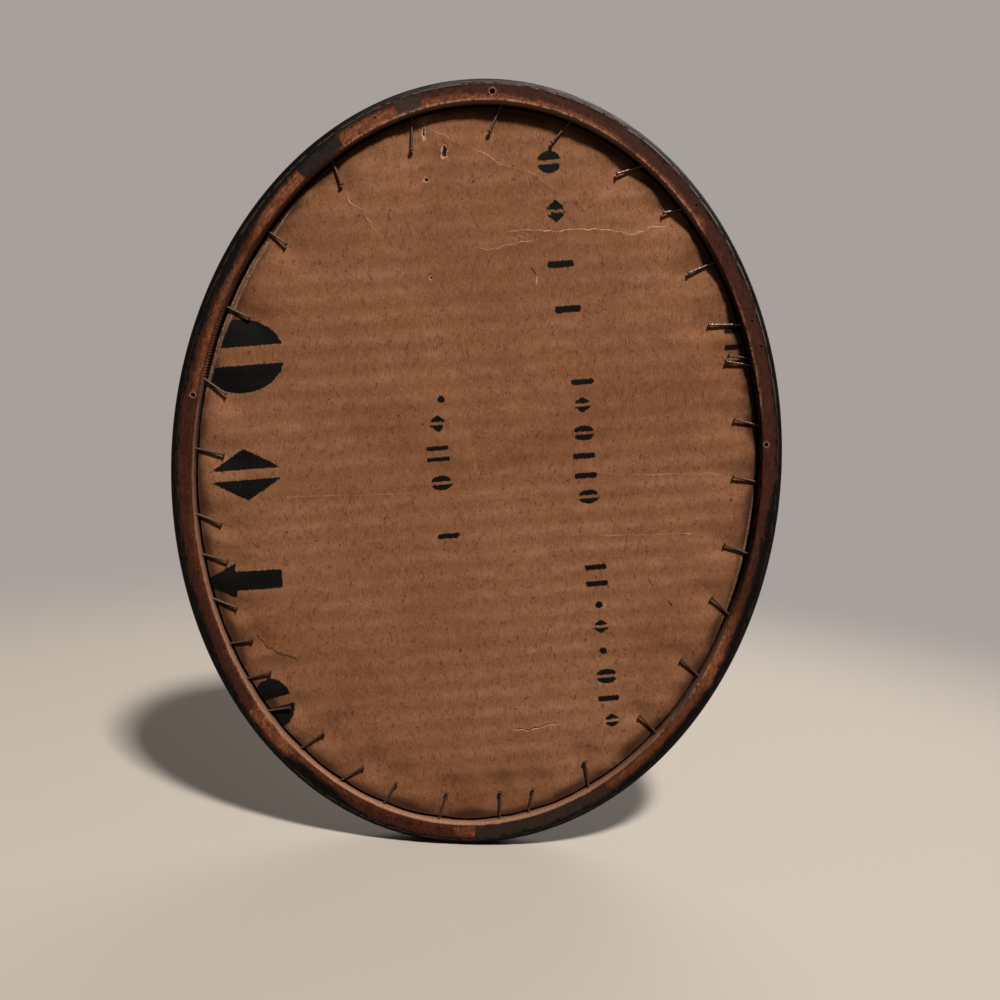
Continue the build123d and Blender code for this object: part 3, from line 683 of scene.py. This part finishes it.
def cartonSurface():
    # rings of the oval from its middle to its edge, then down the cut edge and back underneath
    close = [0, 0.2, 0.45, 0.75, 1.1, 1.5, 2.0, 2.5, 3.1, 3.8]
    depth = np.concatenate([close, np.arange(4.6, 30, 0.95), np.linspace(30.2, carton["a"], 88)])
    ringShare = 1 - depth[::-1] / carton["a"]
    angles = np.linspace(0, 360, carton["columns"], endpoint=False)
    ring, angle = np.meshgrid(ringShare, angles, indexing="ij")
    t = np.radians(angle)
    x, z = carton["a"] * ring * np.cos(t), carton["b"] * ring * np.sin(t)
    _, _, nx, nz = ovalAt(angle, carton["a"], carton["b"])
    edge = (1 - ring) * (carton["a"] * np.cos(t) * nx + carton["b"] * np.sin(t) * nz)
    # bulge: full height away from the brads, nothing along each of them and a little past its head; a
    # ridge beside a groove runs on from each head, for a length drawn at random
    nearest, furrow = np.full(x.shape, 1e3), np.zeros(x.shape)
    for number, (tip, top, axis) in enumerate(bradLines):
        reach = 7 + 8 * np.random.default_rng(number).random()
        aside, _ = toLine(x, z, [tip[[0, 2]], (top + axis * 3)[[0, 2]]])
        nearest = np.minimum(nearest, np.abs(aside))
        aside, along = toLine(x, z, [(top - axis * 2)[[0, 2]], (top + axis * reach)[[0, 2]]])
        ridge, groove = (np.exp(-((aside + shift) / 0.8) ** 2) for shift in (0.9, -0.9))
        furrow += (ridge - 0.8 * groove) * ease(0, 0.2, along) * ease(1, 0.4, along)
    height = carton["lift"] * np.interp(angle, *cartonLift.T)
    height *= (1 - 0.4 * ease(10, 75, edge)) * (0.6 + 0.4 * ease(0, 6, edge))
    height *= 1 - np.exp(-(nearest / carton["valley"]) ** 2)
    height += 0.16 * furrow
    # flutes: a cosine across them; then low random waves
    turn = np.radians(carton["turn"])
    across = z * np.cos(turn) + x * np.sin(turn)
    phase = 2 * np.pi * across / carton["pitch"] + 0.6 * softNoise(x / 60, z / 60, 20)
    height += carton["fluteDepth"] * np.cos(phase) * ease(1, 8, edge) * ease(1.5, 7, nearest)
    waves = 0.30 * softNoise(x / 46, z / 46, 21) + 0.08 * softNoise(x / 13, z / 9, 22)
    height += waves * ease(2, 16, nearest)
    # creases stand up, torn holes go in with a lifted lip
    wx, wz = x + 0.7 * softNoise(x / 2.7, z / 2.7, 23), z + 0.7 * softNoise(x / 2.7, z / 2.7, 24)
    pale, paleStrength = np.full(x.shape, 9.0), np.zeros(x.shape)
    for points, rise, strength in creases:
        aside, along = toLine(wx, wz, points)
        fade = ease(0, 0.12, along) * ease(1, 0.88, along)
        height += rise * np.exp(-(aside / 1.1) ** 2) * fade
        fade *= 0.4 + 0.6 * ease(-0.5, 0.3, softNoise(x / 5, z / 5, 27))  # broken along its length
        fade *= strength * ease(3.5, 2.5, np.abs(aside))
        closer = np.abs(aside) < np.abs(pale)
        paleStrength = np.where(closer, fade, paleStrength)
        pale = np.where(closer, aside, pale)
    dark, darkStrength = np.full(x.shape, 9.0), np.zeros(x.shape)
    for points, strength, broad in slits:
        aside, along = toLine(wx, wz, points)
        aside = aside / broad
        closer = np.abs(aside) < np.abs(dark)
        fade = strength * ease(0, 0.1, along) * ease(1, 0.9, along) * ease(3.5, 2.5, np.abs(aside))
        darkStrength = np.where(closer, fade, darkStrength)
        dark = np.where(closer, aside, dark)
    torn = np.full(x.shape, 9.0)
    for hx, hz, wide, tall in tornHoles:
        away = np.hypot((x - hx) / wide, (z - hz) / tall) * (1 + 0.5 * softNoise(x * 1.5, z * 1.5, 25))
        away = (away - 1) * wide
        height -= 0.5 * ease(0.3, -0.5, away)
        height += 0.22 * np.exp(-((away - 0.9) / 0.7) ** 2)
        torn = np.minimum(torn, away)
    # bevelled cut edge, never below the fluting under it
    bevel = np.interp(angle, *cutEdge.T)
    cut = np.where(bevel > 0.05, np.clip(1 - edge / np.maximum(bevel, 0.05), 0, 1), 0)
    height = height * ease(1, 0.2, cut) - 0.3 * cut ** 0.7
    height = np.maximum(height, -0.32)
    ragged = 0.12 * softNoise(arcLength(angle) / 1.7, 0 * ring, 26) * ease(1.5, 0, edge)
    top = np.stack([x + nx * ragged, oval["boardY"] + height, z + nz * ragged], axis=-1)
    under = []
    for share in (1.0, 0.97, 0.6, 0.0):
        row = top[-1] * (share, 0, share)
        row[:, 1] = oval["boardY"] - carton["liner"]
        under.append(row)
    points = np.concatenate([top, np.stack(under)])
    sheet = np.stack([(bevel > 0.05) * ease(0.25, -0.15, edge - bevel), edge, cut, torn], axis=-1)
    lines = np.stack([pale, paleStrength, dark, darkStrength], axis=-1)
    marks = np.repeat(inkDistance(x, z)[..., None], 4, axis=-1)
    layers = {"sheet": sheet, "lines": lines, "marks": marks}
    for label, values in layers.items():
        layers[label] = np.concatenate([values, np.repeat(values[-1:], len(under), axis=0)])
    return points, layers


def kraftCarton():
    # Corrugated board of unbleached kraft paper, about a century old: short dark fibres and specks,
    # paler where the flutes' crests were rubbed and with painted light on them, grimy and with painted shade
    # beside the rim, flat black stencil ink
    material, tree = newMaterial("agedKraftCarton")
    place = node(tree, "TexCoord", out="Object")
    sheet, lines, marks = (
        node(tree, "Attribute", attribute_name=label) for label in ("sheet", "lines", "marks"))
    cut, edge, bevel = node(tree, "SeparateColor", {0: sheet}).node.outputs
    pale, paleStrength, dark = node(tree, "SeparateColor", {0: lines}).node.outputs
    ink = node(tree, "SeparateColor", {0: marks})
    torn, darkStrength = (layer.node.outputs["Alpha"] for layer in (sheet, lines))
    slope = (0, np.radians(carton["turn"]), 0)
    noises = {}
    for label, (size, detail, rough, warp) in carton["noises"].items():
        turn = (0, 0, 0) if label == "wide" else slope
        at = node(tree, "Mapping", {"Vector": place, "Rotation": turn, "Scale": sizes(*size)},
                  vector_type="TEXTURE")
        noises[label] = node(tree, "TexNoise", {
            "Vector": at, "Scale": 1.0, "Detail": detail, "Roughness": rough, "Distortion": warp})
    fibre, felt, lump, cloud, wide = noises.values()
    clean = node(tree, "MapRange", {0: cloud, 1: 0.3, 2: 0.7})
    one, other = carton["paper"]
    colour = node(tree, "Mix", {0: clean, 6: one, 7: other}, 2, data_type="RGBA")
    # crests of the flutes, paler from rubbing and from painted light, broken into lumps, fainter over some
    # stretches
    pitch = sizes(1000, 1000, carton["pitch"])
    bandAt = node(tree, "Mapping", {"Vector": place, "Rotation": slope, "Scale": pitch},
                  vector_type="TEXTURE")
    band = node(tree, "SeparateXYZ", {0: bandAt}, 2)
    band = node(tree, "Math", {0: band, 1: 2 * np.pi}, operation="MULTIPLY")
    band = node(tree, "Math", {0: band}, operation="COSINE")
    band = node(tree, "MapRange", {0: band, 1: -1.0, 2: 1.0, 4: 0.68})
    for value, low, high, first in ((lump, 0.3, 0.7, 0.0), (wide, 0.4, 0.62, 0.35)):
        strength = node(tree, "MapRange", {0: value, 1: low, 2: high, 3: first})
        band = node(tree, "Math", {0: band, 1: strength}, operation="MULTIPLY")
    # wide pale stains, the crests with their painted light, then short dark fibres and pale fuzz
    for value, low, high, most, tint in (
            (wide, 0.35, 0.65, 0.65, "wide"), (band, 0.0, 1.0, 1.0, "crest"),
            (fibre, 0.45, 0.66, 0.42, "fibre"), (felt, 0.5, 0.76, 0.22, "fuzz")):
        share = node(tree, "MapRange", {0: value, 1: low, 2: high, 4: most})
        colour = node(tree, "Mix", {0: share, 6: colour, 7: carton[tint]}, 2, data_type="RGBA")
    # single curled fibres: where a noise crosses a level it draws a thin line, and a second noise keeps
    # only short lengths of it
    for size, level, tint, strength in carton["curls"]:
        at = node(tree, "Mapping", {"Vector": place, "Rotation": slope, "Scale": sizes(*size)},
                  vector_type="TEXTURE")
        drawn = node(tree, "TexNoise", {"Vector": at, "Scale": 1.0, "Detail": 1.0, "Distortion": 1.2})
        drawn = node(tree, "Math", {0: drawn, 1: level}, operation="SUBTRACT")
        drawn = node(tree, "Math", {0: drawn}, operation="ABSOLUTE")
        drawn = node(tree, "MapRange", {0: drawn, 1: 0.035, 2: 0.012})
        kept = node(tree, "TexNoise", {"Vector": at, "Scale": 0.8, "Detail": 0.0})
        kept = node(tree, "MapRange", {0: kept, 1: 0.53, 2: 0.62, 4: strength})
        thread = node(tree, "Math", {0: drawn, 1: kept}, operation="MULTIPLY")
        colour = node(tree, "Mix", {0: thread, 6: colour, 7: carton[tint]}, 2, data_type="RGBA")
    # dark red brown specks of bark, ragged, longer along the fibres
    for spacing, largest, strength, rarest in carton["specks"]:
        size = sizes(spacing, spacing, spacing * 1.5)
        at = node(tree, "Mapping", {"Vector": place, "Rotation": slope, "Scale": size},
                  vector_type="TEXTURE")
        cell = node(tree, "TexVoronoi", {"Vector": at, "Scale": 1.0}).node.outputs
        radius = node(tree, "SeparateColor", {0: cell["Color"]})
        radius = node(tree, "MapRange", {0: radius, 1: rarest, 2: 1.0, 4: largest})
        away = node(tree, "Math", {0: felt, 1: 0.5}, operation="SUBTRACT")
        away = node(tree, "Math", {0: away, 1: 0.25, 2: cell["Distance"]}, operation="MULTIPLY_ADD")
        speck = node(tree, "Math", {0: away, 1: radius}, operation="SUBTRACT")
        speck = node(tree, "MapRange", {0: speck, 1: 0.02, 2: -0.03, 4: strength})
        colour = node(tree, "Mix", {0: speck, 6: colour, 7: carton["speck"]}, 2, data_type="RGBA")
    # grime and painted shade beside the rim, broad and then dense; stencil ink with a fibrous edge, thin in
    # places
    distances = []
    for value, swing, distance in ((cloud, 14.0, edge), (felt, 1.6, ink)):
        value = node(tree, "Math", {0: value, 1: 0.5}, operation="SUBTRACT")
        distances.append(node(tree, "Math", {0: value, 1: swing, 2: distance}, operation="MULTIPLY_ADD"))
    grimeAndShade, soaked = distances
    broad = node(tree, "MapRange", {0: grimeAndShade, 1: 9.0, 2: 0.0, 4: 0.5})
    dense = node(tree, "MapRange", {0: grimeAndShade, 1: 4.5, 2: 1.0, 4: 0.9})
    soaked = node(tree, "MapRange", {0: soaked, 1: 0.15, 2: -0.15})
    thin = node(tree, "MapRange", {0: fibre, 1: 0.62, 2: 0.8, 3: 1.0, 4: 0.7})
    inked = node(tree, "Math", {0: soaked, 1: thin}, operation="MULTIPLY")
    # pale crests of the creases and dark slits, painted as shade in the cuts, lines made fuzzy by the felt;
    # torn holes painted dark as shade inside them, and their fray
    drawn = []
    for aside, strength, fuzz, full in ((pale, paleStrength, 0.9, 0.46), (dark, darkStrength, 0.7, 0.45)):
        away = node(tree, "Math", {0: aside}, operation="ABSOLUTE")
        away = node(tree, "Math", {0: felt, 1: fuzz, 2: away}, operation="MULTIPLY_ADD")
        away = node(tree, "MapRange", {0: away, 1: 0.72, 2: full})
        drawn.append(node(tree, "Math", {0: away, 1: strength}, operation="MULTIPLY"))
    crack, slit = drawn
    hole = node(tree, "MapRange", {0: torn, 1: 0.15, 2: -0.15})
    slit = node(tree, "Math", {0: slit, 1: hole}, operation="MAXIMUM")
    frayed = node(tree, "Math", {0: felt, 1: 1.2, 2: torn}, operation="MULTIPLY_ADD")
    frayed = node(tree, "MapRange", {0: frayed, 1: 1.15, 2: 0.75, 4: 0.6})
    # cut edge: clean tan board with a darker line where the layers meet
    clean = node(tree, "MapRange", {0: felt, 1: 0.35, 2: 0.62})
    one, other = carton["edge"]
    clean = node(tree, "Mix", {0: clean, 6: one, 7: other}, 2, data_type="RGBA")
    layer = node(tree, "Math", {0: bevel, 1: 0.5}, operation="SUBTRACT")
    layer = node(tree, "Math", {0: layer}, operation="ABSOLUTE")
    layer = node(tree, "MapRange", {0: layer, 1: 0.12, 2: 0.05, 4: 0.6})
    clean = node(tree, "Mix", {0: layer, 6: clean, 7: carton["fibre"]}, 2, data_type="RGBA")
    # what lies over what
    for share, tint in (
            (broad, carton["grimeAndShade"]), (dense, carton["grimeAndShade"]), (inked, carton["ink"]),
            (crack, carton["crack"]), (frayed, carton["crack"]), (slit, carton["slit"]), (cut, clean)):
        colour = node(tree, "Mix", {0: share, 6: colour, 7: tint}, 2, data_type="RGBA")
    height = node(tree, "Math", {0: fibre, 1: 0.5, 2: felt}, operation="MULTIPLY_ADD")
    for value, strength in ((crack, 1.2), (slit, -2.0)):
        height = node(tree, "Math", {0: value, 1: strength, 2: height}, operation="MULTIPLY_ADD")
    bump = node(tree, "Bump", {"Height": height, "Strength": 0.5, "Distance": 0.22 * mm})
    rough = node(tree, "MapRange", {0: inked, 3: 0.85, 4: 0.75})
    surface = node(tree, "BsdfPrincipled", {
        "Base Color": colour, "Roughness": rough, "Normal": bump, "Specular IOR Level": 0.1})
    node(tree, "OutputMaterial", {"Surface": surface})
    return material


cartonMaterial = kraftCarton()
points, layers = cartonSurface()
cartonPiece = gridPiece("cartonRearPaper", points, cartonMaterial, ring=True, layers=layers)
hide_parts("backing_rear_liner")
print("carton:", len(cartonPiece.data.polygons), "faces")


# plain carton, dowels, glass and picture: solids of the frame that are shown as they are

inner = {"kraft": ("#8a6044", "#6f4a33"), "beech": ("#b98d62", "#9a6f48"), "sheet": ("#ddd0b3", "#c9b68f"),
         "foxing": "#9c7446", "glassTint": "#f6f9f5"}


def fibrous(name, tones, length, spread, rough, relief, sheen):
    # short flecks that run up and down: felted kraft paper that nothing has touched, or turned beech
    low, high, broken = spread
    strength, deep = relief
    material, tree = newMaterial(name)
    place = node(tree, "TexCoord", out="Object")
    fleckAt = node(tree, "Mapping", {"Vector": place, "Scale": sizes(0.5, 0.5, length)},
                   vector_type="TEXTURE")
    fleck = node(tree, "TexNoise", {"Vector": fleckAt, "Scale": 1.0, "Detail": 3.0, "Roughness": broken})
    share = node(tree, "MapRange", {0: fleck, 1: low, 2: high})
    colour = node(tree, "Mix", {0: share, 6: tones[0], 7: tones[1]}, 2, data_type="RGBA")
    bump = node(tree, "Bump", {"Height": fleck, "Strength": strength, "Distance": deep * mm})
    surface = node(tree, "BsdfPrincipled", {
        "Base Color": colour, "Roughness": rough, "Normal": bump, "Specular IOR Level": sheen})
    node(tree, "OutputMaterial", {"Surface": surface})
    return material


def drawnGlass():
    # Old drawn window glass: clear, faintly green, with slow waves that bend reflections; lamps shine
    # straight through it on to the sheet behind
    material, tree = newMaterial("drawnWindowGlass")
    place = node(tree, "TexCoord", out="Object")
    waveAt = node(tree, "Mapping", {"Vector": place, "Scale": sizes(70, 70, 25)}, vector_type="TEXTURE")
    wave = node(tree, "TexNoise", {"Vector": waveAt, "Scale": 1.0, "Detail": 1.0})
    bump = node(tree, "Bump", {"Height": wave, "Strength": 0.25, "Distance": 1.0 * mm})
    surface = node(tree, "BsdfPrincipled", {
        "Base Color": inner["glassTint"], "Roughness": 0.03, "Transmission Weight": 1.0, "IOR": 1.52,
        "Normal": bump})
    clear = node(tree, "BsdfTransparent", {"Color": inner["glassTint"]})
    lit = node(tree, "LightPath", out="Is Shadow Ray")
    surface = node(tree, "MixShader", {0: lit, 1: surface, 2: clear})
    node(tree, "OutputMaterial", {"Surface": surface})
    return material


def agedPaper():
    # Wove rag paper left blank, yellowed, with small brown foxing spots
    material, tree = newMaterial("agedWovePaper")
    place = node(tree, "TexCoord", out="Object")
    noises = []
    for size, detail, rough in ((60, 4.0, 0.6), (9, 3.0, 0.55), (0.6, 2.0, 0.5)):
        at = node(tree, "Mapping", {"Vector": place, "Scale": sizes(size, size, size)},
                  vector_type="TEXTURE")
        noises.append(node(tree, "TexNoise", {
            "Vector": at, "Scale": 1.0, "Detail": detail, "Roughness": rough}))
    cloud, spot, weave = noises
    clean = node(tree, "MapRange", {0: cloud, 1: 0.3, 2: 0.7})
    one, other = inner["sheet"]
    colour = node(tree, "Mix", {0: clean, 6: one, 7: other}, 2, data_type="RGBA")
    spot = node(tree, "MapRange", {0: spot, 1: 0.68, 2: 0.78, 4: 0.5})
    colour = node(tree, "Mix", {0: spot, 6: colour, 7: inner["foxing"]}, 2, data_type="RGBA")
    bump = node(tree, "Bump", {"Height": weave, "Strength": 0.3, "Distance": 0.05 * mm})
    surface = node(tree, "BsdfPrincipled", {
        "Base Color": colour, "Roughness": 0.85, "Normal": bump, "Specular IOR Level": 0.2})
    node(tree, "OutputMaterial", {"Surface": surface})
    return material


# tones, length of a fleck in mm, its noise's range and roughness, surface, bump (mm), sheen
kraftMaterial = fibrous("kraftPaperInside", inner["kraft"], 2.6, (0.35, 0.65, 0.62), 0.85, (0.4, 0.2), 0.15)
beechMaterial = fibrous("turnedBeech", inner["beech"], 3.0, (0.4, 0.65, 0.6), 0.6, (0.3, 0.1), 0.5)
finishes = {"backing_front_liner": kraftMaterial, "backing_fluting": kraftMaterial,
            "glass_pane": drawnGlass(), "picture_sheet": agedPaper()}
finishes.update({name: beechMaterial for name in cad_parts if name.startswith("dowel_")})
for name, material in finishes.items():
    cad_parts[name].data.materials.clear()
    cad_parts[name].data.materials.append(material)
print("kept solids:", len(finishes))


# floor, light and camera

stage = {
    "floor": "#a89d90", "backdrop": "#a8a09b",
    "fadeFrom": 0.42, "fadeTo": 0.85,  # metres from the middle, where the floor turns into the backdrop
    "bounce": "#5a544c",  # how the floor looks to light that bounces off it
    "room": "#f4f0ea", "world": 0.022,  # light from all round
    "mirrored": 0.3,  # how much of the pale room the reflections show
    # the main lamp: its direction, how far away it is, size and power
    "keyFrom": (-0.217, 0.542, 0.813), "keyAway": 3.6, "keySize": 0.36, "keyPower": 222.0,
    # place, size and power of the two weak lamps
    "rearFill": ((0.9, 1.5, 0.4), 1.2, 0.6), "frontFill": ((-0.6, -1.6, 1.1), 1.6, 20.0),
}


def seenShare(tree):
    # 1 for rays from the camera or through glass, less for reflections, 0 for light that bounces
    path = node(tree, "LightPath").node.outputs
    seen = node(tree, "Math", {0: path["Is Camera Ray"], 1: path["Is Transmission Ray"]},
                operation="MAXIMUM")
    return node(tree, "Math", {0: path["Is Glossy Ray"], 1: stage["mirrored"], 2: seen},
                operation="MULTIPLY_ADD", use_clamp=True)


floorZ = cadBounds[0][2]
floorMesh = bpy.data.meshes.new("floor")
floorMesh.from_pydata([(-9, -9, floorZ), (9, -9, floorZ), (9, 9, floorZ), (-9, 9, floorZ)], [],
                      [(0, 1, 2, 3)])
floor = bpy.data.objects.new("floor", floorMesh)
bpy.context.collection.objects.link(floor)
floorMaterial, tree = newMaterial("palePaintedBoard")
far = node(tree, "Emission", {"Color": stage["backdrop"], "Strength": 1.0})
seen = seenShare(tree)
# the floor is pale where it is seen, and throws less light back up
paint = node(tree, "Mix", {0: seen, 6: stage["bounce"], 7: stage["floor"]}, 2, data_type="RGBA")
near = node(tree, "BsdfPrincipled", {"Base Color": paint, "Roughness": 0.7, "Specular IOR Level": 0.2})
away = node(tree, "VectorMath", {0: node(tree, "TexCoord", out="Object")}, "Value", operation="LENGTH")
away = node(tree, "MapRange", {0: away, 1: stage["fadeFrom"], 2: stage["fadeTo"]},
            interpolation_type="SMOOTHSTEP")
away = node(tree, "Math", {0: away, 1: seen}, operation="MULTIPLY")
node(tree, "OutputMaterial", {"Surface": node(tree, "MixShader", {0: away, 1: near, 2: far})})
floorMesh.materials.append(floorMaterial)


def aim(place, ahead, up=(0, 0, 1)):
    # matrix that stands at a place and looks along its own minus z towards ahead
    back = -np.array(ahead, float) / np.linalg.norm(ahead)
    right = np.cross(up, back)
    right /= np.linalg.norm(right)
    turned = np.eye(4)
    turned[:3] = np.stack([right, np.cross(back, right), back, place], axis=1)
    return Matrix(turned.tolist())


def softBox(name, place, size, power):
    # a square lamp that faces the frame
    data = bpy.data.lights.new(name, "AREA")
    data.shape, data.size, data.energy = "SQUARE", size, power
    lamp = bpy.data.objects.new(name, data)
    lamp.matrix_world = aim(place, -np.array(place))
    bpy.context.collection.objects.link(lamp)


softBox("keyLamp", np.array(stage["keyFrom"]) * stage["keyAway"], stage["keySize"], stage["keyPower"])
for name in ("rearFill", "frontFill"):
    softBox(name, *stage[name])

world = bpy.data.worlds.new("softRoom")
bpy.context.scene.world = world
world.use_nodes = True
tree = world.node_tree
tree.nodes.clear()
seen = seenShare(tree)
light = node(tree, "Background", {"Color": stage["room"], "Strength": stage["world"]})
backdrop = node(tree, "Background", {"Color": stage["backdrop"], "Strength": 1.0})
node(tree, "OutputWorld", {"Surface": node(tree, "MixShader", {0: seen, 1: light, 2: backdrop})})

# the camera stands behind the frame, a little above its middle, and is turned slightly on its own axis
camera = {"place": (0.01385, 0.50370, 0.04200), "ahead": (-0.04882, -0.99314, -0.10627),
          "up": (0.05593, -0.10895, 0.99247), "lens": 36.0, "sensor": 36.0, "nearest": 0.01}
cameraData = bpy.data.cameras.new("photoCamera")
cameraData.lens = camera["lens"]
cameraData.sensor_width = camera["sensor"]
cameraData.clip_start = camera["nearest"]
cameraObject = bpy.data.objects.new("photoCamera", cameraData)
cameraObject.matrix_world = aim(camera["place"], camera["ahead"], camera["up"])
bpy.context.collection.objects.link(cameraObject)
bpy.context.scene.camera = cameraObject
bpy.context.scene.view_settings.view_transform = "Standard"
print("stage: floor, three lamps, camera")
